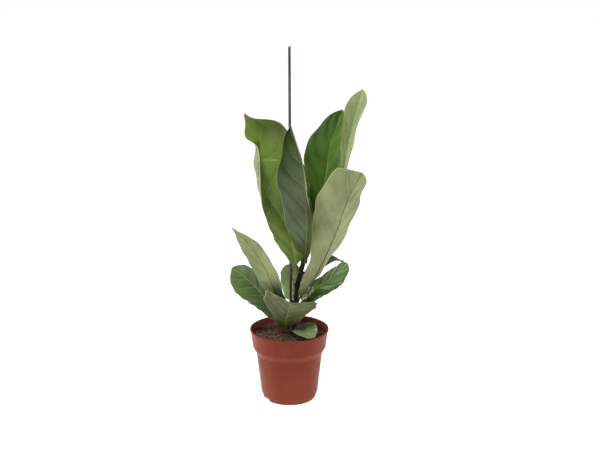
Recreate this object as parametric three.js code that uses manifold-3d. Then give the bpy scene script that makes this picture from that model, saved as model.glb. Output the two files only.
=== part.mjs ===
// Potted fiddle leaf fig (Ficus lyrata): a young plant with one short stem and large leathery leaves,
// held up by a straight cane, in a round plastic nursery pot. Millimetres, +Z up.
// The origin is on the pot's axis, on the surface that the pot stands on.

import * as THREE from "three";
import * as BufferGeometryUtils from "three/addons/utils/BufferGeometryUtils.js";
import Module from "manifold-3d";

const wasm = await Module();
wasm.setup();

// ---------------------------------------------------------------- driving dimensions

const CLEARANCE = 0.3;             // gap left between pieces that touch
const BORE_CLEARANCE = 0.35;       // gap round the stem and the cane where the soil closes on them

const POT_HEIGHT = 156;
const POT_RIM_RADIUS = 85;         // outside of the lip, at the very top
const POT_WALL = 2.4;
const POT_FOOT_RADIUS = 56;        // outside of the ring that the pot stands on
const POT_HEEL_RADIUS = 61;        // outside, just above the bevel over the foot
const POT_HEEL_HEIGHT = 14;
const POT_WAIST_RADIUS = 71.3;     // outside, where the plain side ends under the collar
const COLLAR_HEIGHT = 39;          // deep flared collar below the rim
const COLLAR_BEVEL_HEIGHT = 13.5;  // slope from the plain side out to the collar
const COLLAR_BASE_RADIUS = 79.2;
const LIP_HEIGHT = 3;              // thin rounded lip that stands proud of the collar
const LIP_PROUD = 1.2;
const POT_SIDES = 44;

const FLOOR_THICKNESS = 2.4;
const FOOT_RING_WIDTH = 11;
const CENTRE_DISC_RADIUS = 22;     // the middle of the floor stands on the surface too
const CHANNEL_DEPTH = 5;           // raised ring channel under the floor, where the water runs
const DRAIN_HOLES = 8;
const DRAIN_HOLE_RADIUS = 4;
const NOTCH_ANGLES = [28, 208];    // drain notches through the foot, degrees from +X
const NOTCH_WIDTH = 26;
const NOTCH_HEIGHT = 10;

const SOIL_DEPTH_BELOW_RIM = 12;
const SOIL_CROWN = 3;              // the soil is a little higher in the middle
const SOIL_SHRINKAGE = 0.4;        // gap between the root ball and the pot

const CANE_RADIUS = 3;
const CANE_TOP = 763;
const CANE_TOP_X = 1.5;
const CANE_FOOT_X = 3.5;
const CANE_FOOT_OVER_FLOOR = 12;

const STEM_RADIUS = 6.5;
const STEM_ROOT_DEPTH = 50;        // how far the stem goes down into the soil
const PETIOLE_RADIUS = 2.2;
const LEAF_THICKNESS = 1.4;        // at the midrib, thinning to the margins
const BUD_RADIUS = 4.2;
const BUD_LENGTH = 34;

// Shares of a radius from the foot to the tip.
const STEM_TAPER = [1, 1, 1, 0.98, 0.96, 0.93, 0.9, 0.86, 0.8, 0.72];
const BUD_SWELL = [0.75, 1, 0.9, 0.55, 0.1];
const CANE_TAPER = [1, 1, 1];
// The soil's crown, as [share of the soil's radius, share of the crown's rise].
const CROWN_PROFILE = [[0.75, 0.3], [0.45, 0.75], [0.2, 0.95], [0, 1]];

const STEM_SIDES = 12;
const CANE_SIDES = 10;
const BUD_SIDES = 8;

// The stem's centre line, as [x, y, height over the soil]. Its foot stands close behind the cane, and it
// leans gently to the right and forwards.
const BEHIND_CANE = CANE_RADIUS + STEM_RADIUS - 0.5;
const STEM_ROUTE = [
  [8, BEHIND_CANE, -STEM_ROOT_DEPTH], [9, BEHIND_CANE, 6], [14, BEHIND_CANE - 2, 66],
  [17, BEHIND_CANE - 4, 106], [27, 2, 148], [33, 0, 174],
];

// Every leaf, lowest first. node is its height over the soil on the stem, and side the compass side it
// leaves from, in degrees from +X. midrib holds the centre line after the stem, as [x, y, height over
// the soil]. faces says which way the upper surface looks, from the stalk to the tip. halves are the
// widest left and right half widths, curl their bend in degrees (left and right, base to tip) and fold
// the angle that both halves lift at the midrib. outline holds the half width at the base, waist, shoulder
// and apex as shares of the widest.
const LEAVES = [
  {
    name: "leaf_01", node: 6, side: 300, stalk: 12, halves: [30, 25],
    midrib: [[13, -18, 12], [22, -32, 18], [36, -45, 17], [54, -54, 11]],
    faces: [[0, 0, 1], [0, -0.2, 1], [0.2, -0.3, 1]],
    curl: [[10, 30, 30], [10, 10, 10]], fold: [10, 10, 10], outline: [0.5, 0.6, 0.9, 0.55],
  },
  {
    name: "leaf_02", node: 8, side: 190, stalk: 12, halves: [60, 60],
    midrib: [[-7, -8, 15], [-6, -26, 38], [-2, -43, 62], [2, -56, 79], [6, -66, 92]],
    faces: [[0, 0.5, 1], [0.1, 1, 0.6], [0.2, 0.8, 1]],
    curl: [[10, 20, 20], [10, 20, 20]], fold: [10, 10, 10], outline: [0.26, 0.45, 1, 0.9],
  },
  {
    name: "leaf_03", node: 18, side: 175, stalk: 25, halves: [42, 29],
    midrib: [[-35, 7, 55], [-65, 0, 97], [-95, 0, 127], [-122, 2, 148]],
    faces: [[0.2, -0.8, 1], [0.2, -1, 0.7], [0.2, -1, 0.7]],
    curl: [[0, 5, 10], [20, 50, 60]], fold: [0, 5, 5], outline: [0.5, 0.62, 0.85, 0.5],
  },
  {
    name: "leaf_04", node: 46, side: 178, stalk: 12, halves: [25, 35],
    midrib: [[-27, -18, 92], [-47, -44, 154], [-78, -53, 209], [-118, -54, 253]],
    faces: [[0.3, 0.3, 1], [0.4, 0.8, 0.6], [0.3, 0.6, 1]],
    curl: [[10, 20, 20], [0, 0, 0]], fold: [5, 0, 0], outline: [0.64, 0.82, 0.82, 0.3],
  },
  {
    name: "leaf_05", node: 62, side: 20, stalk: 8, halves: [20, 28],
    midrib: [[50, 10, 95], [80, 20, 110], [105, 28, 128], [125, 30, 150]],
    faces: [[-0.3, -0.5, 1], [-0.3, -0.8, 1], [-0.3, -1, 1]],
    curl: [[0, 0, 0], [0, 0, 0]], fold: [0, 0, 0], outline: [1.05, 1.05, 0.75, 0.5],
  },
  {
    name: "leaf_06", node: 80, side: 325, stalk: 8, halves: [50, 62],
    midrib: [[61, -28, 149], [97, -48, 239], [120, -55, 310], [150, -50, 368]],
    faces: [[-0.5, 0, 1], [-0.6, 0.8, 0.3], [-0.5, 0.9, 0.3], [-0.5, 0.9, 0.2]],
    curl: [[10, 15, 30], [20, 25, 25]], fold: [10, 10, 10], outline: [0.42, 0.44, 0.92, 0.85],
  },
  {
    name: "leaf_07", node: 92, side: 50, stalk: 35, halves: [22, 22],
    midrib: [[45, 40, 116], [75, 65, 136], [100, 82, 140], [118, 92, 131]],
    faces: [[-0.3, -0.5, 1], [0, 0, 1], [0, 0, 1]],
    curl: [[10, 10, 10], [10, 10, 10]], fold: [10, 10, 10], outline: [0.5, 0.6, 0.9, 0.55],
  },
  {
    name: "leaf_08", node: 62, side: 120, stalk: 10, halves: [28, 29],
    midrib: [[3, 26, 76], [3, 40, 98], [8, 48, 119], [16, 52, 138]],
    faces: [[0, -0.5, 1], [0, -1, 0.5], [0, -1, 0.2]],
    curl: [[10, 10, 10], [10, 10, 10]], fold: [10, 10, 10], outline: [0.5, 0.6, 0.9, 0.55],
  },
  {
    name: "leaf_09", node: 134, side: 5, stalk: 25, halves: [32, 14],
    midrib: [[76, 20, 213], [108, 22, 320], [120, 18, 396], [131, 10, 456], [150, 0, 531]],
    faces: [[-0.5, 0, 1], [-1, 0.8, 0.2], [-1, 0.9, 0.1], [-1, 0.8, 0]],
    curl: [[10, 15, 20], [20, 30, 30]], fold: [10, 10, 10], outline: [0.5, 0.7, 1.95, 1.35],
  },
  {
    name: "leaf_10", node: 138, side: 235, stalk: 23, halves: [58, 79],
    midrib: [[-5, -29, 248], [-45, -38, 319], [-65, -26, 384], [-60, -18, 429], [-91, -8, 482]],
    faces: [[0, -0.2, 1], [0.3, -1, 0.3], [0.45, -1, 0.2], [0.65, -1, 0], [-0.2, -1, 0.2]],
    curl: [[10, 30, 85, 10], [10, 20, 20, 40]], fold: [10, 20, 25], outline: [0.43, 0.8, 0.78, 0.2],
  },
  {
    name: "leaf_11", node: 148, side: 95, stalk: 24, halves: [30, 26],
    midrib: [[28, 17, 229], [22, 19, 292], [16, 21, 349], [11, 21, 386]],
    faces: [[0, -0.5, 1], [0, -1, 0.1], [0, -1, 0]],
    curl: [[10, 20, 20], [10, 20, 20]], fold: [10, 10, 10], outline: [0.5, 0.6, 0.9, 0.55],
  },
  {
    name: "leaf_12", node: 156, side: 40, stalk: 34, halves: [52, 46],
    midrib: [[52, 36, 250], [76, 52, 323], [87, 60, 399], [113, 58, 478]],
    faces: [[0, -0.5, 1], [-0.2, -1, 0.2], [-0.2, -1, 0.1], [-0.2, -1, 0]],
    curl: [[10, 15, 20], [20, 50, 70]], fold: [10, 10, 10], outline: [0.5, 0.6, 0.68, 0.4],
  },
  {
    name: "leaf_13", node: 162, side: 300, stalk: 20, halves: [58, 40],
    midrib: [[38, -55, 246], [35, -70, 322], [25, -77, 398], [5, -68, 468]],
    faces: [[-0.4, -1, 1], [-0.55, -1, 0], [-0.85, -1, 0], [-1, -1, 0]],
    curl: [[10, 30, 100], [20, 30, 30]], fold: [20, 30, 30], outline: [0.5, 0.72, 0.7, 0.4],
  },
];

const STALK_RINGS = 2;
const BLADE_RINGS = 14;
const LEAF_LOOP = 12;              // points round a leaf's section

// ---------------------------------------------------------------- materials

const plain = (color, roughness) => new THREE.MeshStandardMaterial({ color, roughness, metalness: 0 });
const TERRACOTTA = plain(0xa2543f, 0.55);
const SOIL = plain(0x3b2a22, 0.95);
const CANE = plain(0x4a3a3c, 0.6);
const BARK = plain(0x4a4030, 0.85);
const LEAF = plain(0x3f6b2c, 0.45);
const SHEATH = plain(0x4a2a26, 0.8);

// ---------------------------------------------------------------- helpers

const up = (x, y, z) => new THREE.Vector3(x, y, z);
const radians = THREE.MathUtils.degToRad;
const soilTop = POT_HEIGHT - SOIL_DEPTH_BELOW_RIM;
const smooth = (points) => new THREE.CatmullRomCurve3(points, false, "catmullrom", 0.5);

function overSoil([x, y, height]) {
  return up(x, y, soilTop + height);
}

// A smooth value along a list of values, share running from 0 to 1.
function along(values, share) {
  return smooth(values.map((value) => up(value, 0, 0))).getPoint(share).x;
}

function bare(geometry) {
  geometry.deleteAttribute("normal");
  geometry.deleteAttribute("uv");
  return BufferGeometryUtils.mergeVertices(geometry, 1e-4);
}

function solidOf(geometry) {
  const merged = bare(geometry);
  return new wasm.Manifold(new wasm.Mesh({
    numProp: 3,
    vertProperties: new Float32Array(merged.attributes.position.array),
    triVerts: new Uint32Array(merged.index.array),
  }));
}

function geometryOf(solid) {
  const mesh = solid.getMesh();
  const geometry = new THREE.BufferGeometry();
  geometry.setAttribute("position", new THREE.BufferAttribute(mesh.vertProperties, 3));
  geometry.setIndex(new THREE.BufferAttribute(mesh.triVerts, 1));
  geometry.computeVertexNormals();
  return geometry;
}

// A solid of revolution about +Z from [radius, height] points that start and end on the axis.
function turned(points, sides) {
  const profile = points.map(([radius, height]) => new THREE.Vector2(radius, height));
  return new THREE.LatheGeometry(profile, sides).rotateX(Math.PI / 2);
}

// Triangles over the flat end of a ring, in strips between its two halves, so that they stay inside a fold.
function ringCap(first, count) {
  const triangles = [first, first + 1, first + count - 1];
  for (let step = 1; step + 1 < count / 2; step += 1) {
    const near = first + step;
    const far = first + count - step;
    triangles.push(near, near + 1, far, near + 1, far - 1, far);
  }
  const turn = first + count / 2;
  triangles.push(turn - 1, turn, turn + 1);
  return triangles;
}

// A closed solid through rings of points, each ring in the same order, with a flat end at each end. The
// diagonals are alike on both halves of a ring, so that the two sides of a thin twisted blade never cross.
function lofted(rings) {
  const count = rings[0].length;
  const positions = rings.flat();
  const triangles = [];
  for (let ring = 0; ring + 1 < rings.length; ring += 1) {
    for (let step = 0; step < count; step += 1) {
      const here = ring * count + step;
      const beside = ring * count + (step + 1) % count;
      if (2 * step < count) triangles.push(here, beside, here + count, beside, beside + count, here + count);
      else triangles.push(here, beside, beside + count, here, beside + count, here + count);
    }
  }
  triangles.push(...ringCap(0, count).reverse(), ...ringCap((rings.length - 1) * count, count));
  const geometry = new THREE.BufferGeometry().setFromPoints(positions);
  geometry.setIndex(triangles);
  geometry.computeVertexNormals();
  return geometry;
}

// Rings of a round rod along a curve, with a radius for each ring.
function rodRings(curve, radii, sides) {
  return radii.map((radius, ring) => {
    const share = ring / (radii.length - 1);
    const centre = curve.getPointAt(share);
    const forward = curve.getTangentAt(share);
    const across = new THREE.Vector3().crossVectors(up(0, 1, 0), forward).normalize();
    const over = new THREE.Vector3().crossVectors(forward, across);
    return Array.from({ length: sides }, (_, step) => {
      const turn = step / sides * 2 * Math.PI;
      return centre.clone()
        .addScaledVector(across, radius * Math.cos(turn))
        .addScaledVector(over, radius * Math.sin(turn));
    });
  });
}

// ---------------------------------------------------------------- pot

// The outside of the wall from the foot up, as [radius, height] where its slope changes.
const WALL = [
  [POT_FOOT_RADIUS, 0],
  [POT_HEEL_RADIUS, POT_HEEL_HEIGHT],
  [POT_WAIST_RADIUS, POT_HEIGHT - COLLAR_HEIGHT - COLLAR_BEVEL_HEIGHT],
  [COLLAR_BASE_RADIUS, POT_HEIGHT - COLLAR_HEIGHT],
  [POT_RIM_RADIUS - LIP_PROUD, POT_HEIGHT],
];

function wallRadius(height) {
  const above = Math.max(1, WALL.findIndex(([, top]) => height <= top));
  const [[lowRadius, low], [highRadius, high]] = WALL.slice(above - 1, above + 1);
  return THREE.MathUtils.mapLinear(height, low, high, lowRadius, highRadius);
}

// The heights where the wall's slope changes between two heights, with those two.
function wallHeights(lowest, highest) {
  const corners = WALL.map(([, height]) => height);
  return [lowest, ...corners.filter((height) => height > lowest && height < highest), highest];
}

function makePot() {
  const floorTop = CHANNEL_DEPTH + FLOOR_THICKNESS;
  const outside = wallHeights(0, POT_HEIGHT - LIP_HEIGHT).map((height) => [wallRadius(height), height]);
  const lip = [
    [POT_RIM_RADIUS, POT_HEIGHT - LIP_HEIGHT],
    [POT_RIM_RADIUS, POT_HEIGHT - LIP_PROUD],
    [POT_RIM_RADIUS - LIP_PROUD, POT_HEIGHT],
    [wallRadius(POT_HEIGHT) - POT_WALL, POT_HEIGHT],
  ];
  const inside = wallHeights(floorTop, POT_HEIGHT).slice(0, -1).reverse()
    .map((height) => [wallRadius(height) - POT_WALL, height]);
  const channelOuter = POT_FOOT_RADIUS - FOOT_RING_WIDTH;
  const underside = [
    [0, 0], [CENTRE_DISC_RADIUS, 0], [CENTRE_DISC_RADIUS, CHANNEL_DEPTH],
    [channelOuter, CHANNEL_DEPTH], [channelOuter, 0],
  ];
  let pot = solidOf(turned([...underside, ...outside, ...lip, ...inside, [0, floorTop]], POT_SIDES));
  for (const angle of NOTCH_ANGLES) pot = pot.subtract(notchCutter(angle));
  for (let hole = 0; hole < DRAIN_HOLES; hole += 1) pot = pot.subtract(drainCutter(hole));
  return geometryOf(pot);
}

function notchCutter(angle) {
  const inner = POT_FOOT_RADIUS - FOOT_RING_WIDTH - 2 * POT_WALL;
  const outer = POT_RIM_RADIUS;
  const box = new THREE.BoxGeometry(outer - inner, NOTCH_WIDTH, 2 * NOTCH_HEIGHT);
  box.translate((inner + outer) / 2, 0, 0);
  const roof = CHANNEL_DEPTH + FLOOR_THICKNESS;
  const keep = new THREE.BoxGeometry(2 * POT_FOOT_RADIUS, NOTCH_WIDTH + 2, 2 * NOTCH_HEIGHT);
  keep.translate(0, 0, CHANNEL_DEPTH + NOTCH_HEIGHT);
  keep.translate(wallRadius(roof) - POT_WALL - POT_FOOT_RADIUS, 0, 0);
  return solidOf(box.toNonIndexed()).subtract(solidOf(keep.toNonIndexed())).rotate([0, 0, angle]);
}

function drainCutter(index) {
  const ring = (CENTRE_DISC_RADIUS + POT_FOOT_RADIUS - FOOT_RING_WIDTH) / 2;
  const drill = new THREE.CylinderGeometry(DRAIN_HOLE_RADIUS, DRAIN_HOLE_RADIUS, 4 * FLOOR_THICKNESS, 12);
  drill.rotateX(Math.PI / 2).translate(ring, 0, CHANNEL_DEPTH);
  return solidOf(drill.toNonIndexed()).rotate([0, 0, (index + 0.5) / DRAIN_HOLES * 360]);
}

// ---------------------------------------------------------------- cane, stem and soil

function caneRings(radius, deeper = 0) {
  const foot = CHANNEL_DEPTH + FLOOR_THICKNESS + CANE_FOOT_OVER_FLOOR - deeper;
  const line = new THREE.LineCurve3(up(CANE_FOOT_X, 0, foot), up(CANE_TOP_X, 0, CANE_TOP));
  return rodRings(line, CANE_TAPER.map((share) => share * radius), CANE_SIDES);
}

const stemCurve = smooth(STEM_ROUTE.map(overSoil));

function stemRings(radius, deeper = 0) {
  const rings = rodRings(stemCurve, STEM_TAPER.map((share) => share * radius), STEM_SIDES);
  rings[0].forEach((point) => point.addScaledVector(stemCurve.getTangentAt(0), -deeper));
  return rings;
}

function makeSoil() {
  const floorTop = CHANNEL_DEPTH + FLOOR_THICKNESS + CLEARANCE;
  const fill = (height) => [wallRadius(height) - POT_WALL - SOIL_SHRINKAGE, height];
  const side = wallHeights(floorTop, soilTop).map(fill);
  const crown = CROWN_PROFILE.map(([out, rise]) => [fill(soilTop)[0] * out, soilTop + SOIL_CROWN * rise]);
  let soil = solidOf(turned([[0, floorTop], ...side, ...crown], POT_SIDES));
  soil = soil.subtract(solidOf(lofted(caneRings(CANE_RADIUS + BORE_CLEARANCE, CLEARANCE))));
  soil = soil.subtract(solidOf(lofted(stemRings(STEM_RADIUS + BORE_CLEARANCE, CLEARANCE))));
  return geometryOf(soil);
}

// The papery sheath over the growing tip, standing on the cut-flat top of the stem.
function makeBud() {
  const foot = stemCurve.getPointAt(1).addScaledVector(stemCurve.getTangentAt(1), CLEARANCE);
  const tip = foot.clone().addScaledVector(stemCurve.getTangentAt(1), BUD_LENGTH);
  const radii = BUD_SWELL.map((share) => share * BUD_RADIUS);
  return lofted(rodRings(new THREE.LineCurve3(foot, tip), radii, BUD_SIDES));
}

// ---------------------------------------------------------------- leaves

// The stem's centre at a height over the soil.
function stemCentre(height) {
  const target = soilTop + height;
  const route = STEM_ROUTE.map(overSoil);
  const next = route.findIndex((point) => point.z >= target);
  const share = (target - route[next - 1].z) / (route[next].z - route[next - 1].z);
  return route[next - 1].clone().lerp(route[next], share);
}

function leafBase(leaf) {
  const side = radians(leaf.side);
  const reach = STEM_RADIUS + PETIOLE_RADIUS + CLEARANCE;
  return stemCentre(leaf.node).add(up(reach * Math.cos(side), reach * Math.sin(side), 0));
}

// The fiddle outline: half width as a share of the widest, against the share of the blade's length.
function outlineCurve([base, waist, shoulder, apex]) {
  const points = [
    [0, 0.08], [0.03, 0.65 * base], [0.1, base], [0.26, waist], [0.46, (1 + waist) / 2],
    [0.68, 1], [0.85, shoulder], [0.95, apex], [1, 0.03],
  ];
  return new THREE.SplineCurve(points.map(([share, width]) => new THREE.Vector2(share, width)));
}

// One ring round the leaf: flat and wide on the blade, round on the stalk.
function leafRing(leaf, midrib, faces, place, bladeShare, halfWidths, halfThickness) {
  const centre = midrib.getPointAt(place);
  const forward = midrib.getTangentAt(place);
  const over = faces.getPoint(place);
  over.addScaledVector(forward, -over.dot(forward)).normalize();
  const left = new THREE.Vector3().crossVectors(over, forward);
  const lift = radians(along(leaf.fold, bladeShare));
  return Array.from({ length: LEAF_LOOP }, (_, step) => {
    const turn = step / LEAF_LOOP * 2 * Math.PI;
    const reach = Math.cos(turn);
    const half = reach > 0 ? 0 : 1;
    const sign = reach > 0 ? 1 : -1;
    const bend = Math.max(radians(along(leaf.curl[half], bladeShare)), 1e-3);
    const tilt = lift + bend * Math.abs(reach);
    const out = halfWidths[half] * (Math.sin(tilt) - Math.sin(lift)) / bend;
    const rise = halfWidths[half] * (Math.cos(lift) - Math.cos(tilt)) / bend;
    const skin = halfThickness * Math.sin(turn);
    return centre.clone()
      .addScaledVector(left, sign * (out - skin * Math.sin(tilt)))
      .addScaledVector(over, rise + skin * Math.cos(tilt));
  });
}

function makeLeaf(leaf) {
  const midrib = smooth([leafBase(leaf), ...leaf.midrib.map(overSoil)]);
  const faces = smooth(leaf.faces.map(([x, y, z]) => up(x, y, z).normalize()));
  const stalkShare = leaf.stalk / midrib.getLength();
  const outline = outlineCurve(leaf.outline);
  const round = [PETIOLE_RADIUS, PETIOLE_RADIUS];
  const straight = { curl: [[0, 0], [0, 0]], fold: [0, 0] };
  const rings = [];
  for (let ring = 0; ring < STALK_RINGS; ring += 1) {
    const place = stalkShare * ring / STALK_RINGS;
    rings.push(leafRing(straight, midrib, faces, place, 0, round, PETIOLE_RADIUS));
  }
  for (let ring = 0; ring <= BLADE_RINGS; ring += 1) {
    const { x: share, y: width } = outline.getPoint(ring / BLADE_RINGS);
    const halfWidths = leaf.halves.map((half) => half * Math.max(width, 0.03));
    const thin = THREE.MathUtils.lerp(PETIOLE_RADIUS, LEAF_THICKNESS / 2, Math.min(1, share / 0.1));
    const tipped = ring === BLADE_RINGS ? thin / 2 : thin;
    const place = stalkShare + (1 - stalkShare) * THREE.MathUtils.clamp(share, 0, 1);
    rings.push(leafRing(leaf, midrib, faces, place, share, halfWidths, tipped));
  }
  return lofted(rings);
}

// ---------------------------------------------------------------- the plant in its pot

const pieces = [
  ["pot", makePot(), TERRACOTTA],
  ["soil", makeSoil(), SOIL],
  ["support_cane", lofted(caneRings(CANE_RADIUS)), CANE],
  ["stem", lofted(stemRings(STEM_RADIUS)), BARK],
  ["bud_sheath", makeBud(), SHEATH],
  ...LEAVES.map((leaf) => [leaf.name, makeLeaf(leaf), LEAF]),
];

const fig = new THREE.Group();
for (const [name, geometry, material] of pieces) {
  const mesh = new THREE.Mesh(geometry, material);
  mesh.name = name;
  fig.add(mesh);
}

export default fig;
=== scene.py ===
import math
import random
from dataclasses import dataclass, field

import bpy
import numpy as np
from mathutils import Matrix, Vector, noise


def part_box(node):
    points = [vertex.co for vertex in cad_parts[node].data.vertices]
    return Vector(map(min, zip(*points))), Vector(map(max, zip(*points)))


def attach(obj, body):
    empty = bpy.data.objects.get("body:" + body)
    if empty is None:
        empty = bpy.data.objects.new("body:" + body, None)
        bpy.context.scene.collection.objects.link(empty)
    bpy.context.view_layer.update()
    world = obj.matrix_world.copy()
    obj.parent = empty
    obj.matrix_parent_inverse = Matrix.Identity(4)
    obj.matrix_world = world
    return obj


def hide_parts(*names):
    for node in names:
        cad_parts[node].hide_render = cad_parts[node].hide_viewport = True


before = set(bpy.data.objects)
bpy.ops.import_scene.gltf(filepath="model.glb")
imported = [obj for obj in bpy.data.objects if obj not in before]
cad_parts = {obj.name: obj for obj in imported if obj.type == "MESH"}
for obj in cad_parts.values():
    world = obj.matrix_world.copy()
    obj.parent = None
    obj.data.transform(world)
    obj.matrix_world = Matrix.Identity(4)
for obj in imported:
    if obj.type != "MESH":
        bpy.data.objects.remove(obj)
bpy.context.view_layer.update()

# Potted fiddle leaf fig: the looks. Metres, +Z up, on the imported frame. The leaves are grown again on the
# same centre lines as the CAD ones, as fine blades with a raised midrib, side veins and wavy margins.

MM = 0.001

# ---------------------------------------------------------------- sizes, taken from the frame

POT_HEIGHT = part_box("pot")[1].z
POT_RIM_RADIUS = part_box("pot")[1].x
CANE_LOW, CANE_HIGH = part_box("support_cane")
STEM_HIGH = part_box("stem")[1]
BUD_LOW, BUD_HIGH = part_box("bud_sheath")

SOIL_TOP = POT_HEIGHT - 12 * MM
SOIL_CROWN = 3 * MM

POT_WALL = 2.4 * MM
POT_FOOT_RADIUS = 56 * MM
POT_HEEL_RADIUS, POT_HEEL_HEIGHT = 61 * MM, 14 * MM
POT_WAIST_RADIUS = 71.3 * MM
COLLAR_HEIGHT, COLLAR_BEVEL_HEIGHT = 39 * MM, 13.5 * MM
COLLAR_BASE_RADIUS = 79.2 * MM
LIP_HEIGHT, LIP_PROUD = 3 * MM, 1.2 * MM
FOOT_RING_WIDTH = 11 * MM
CENTRE_DISC_RADIUS = 22 * MM
CHANNEL_DEPTH = 5 * MM
DRAIN_HOLES, DRAIN_HOLE_RADIUS = 8, 4 * MM
NOTCH_ANGLES = (28, 208)
NOTCH_WIDTH, NOTCH_HEIGHT = 26 * MM, 10 * MM
POT_SEGMENTS = 180

CANE_RADIUS = 3 * MM
STEM_RADIUS = 6.5 * MM
PETIOLE_RADIUS = 2.2 * MM
CLEARANCE = 0.3 * MM

# The stem's centre line, as (x, y, height over the soil).
STEM_ROUTE = [
    (.008, .009, -.05), (.009, .009, .006), (.014, .007, .066), (.017, .005, .106), (.027, .002, .148),
    (.033, 0, .174),
]


def srgb(red, green, blue):
    """A linear colour from 0-255 screen values."""
    def linear(value):
        value /= 255
        return value / 12.92 if value <= .04045 else ((value + .055) / 1.055) ** 2.4
    return (linear(red), linear(green), linear(blue), 1)


@dataclass
class Leaf:
    """One leaf. The first fields are those of its CAD solid: node is its height on the stem, side the
    compass side that it leaves from, midrib its centre line over the soil, faces where its upper surface
    looks, halves the widest left and right half widths, curl and fold their bend and lift in degrees, and
    outline the half width at the base, waist, shoulder and apex. wave is the height, the count and the start
    of the waves of its margins. upper, under and rib are the colours of the upper surface, the underside and
    the underside's midrib, veins how far the underside's side veins pale, and gloss how waxy it is above.
    The colours hold each leaf's own tone and also painted light and shade: they are set darker for a leaf
    that lies in shade and paler for one in the light."""
    name: str
    node: float
    side: float
    stalk: float
    halves: tuple
    midrib: list
    faces: list
    curl: tuple
    fold: tuple
    outline: tuple
    wave: tuple = (2 * MM, 3, 0)
    upper: tuple = field(default_factory=lambda: srgb(62, 92, 38))
    under: tuple = field(default_factory=lambda: srgb(122, 138, 92))
    rib: tuple = field(default_factory=lambda: srgb(150, 138, 78))
    veins: float = .6
    gloss: float = .1


# Painted light and shade: each leaf's colours are set darker or paler to the light that falls on that leaf,
# on top of its own tone; leaf_02's dark underside is painted shade.
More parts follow.
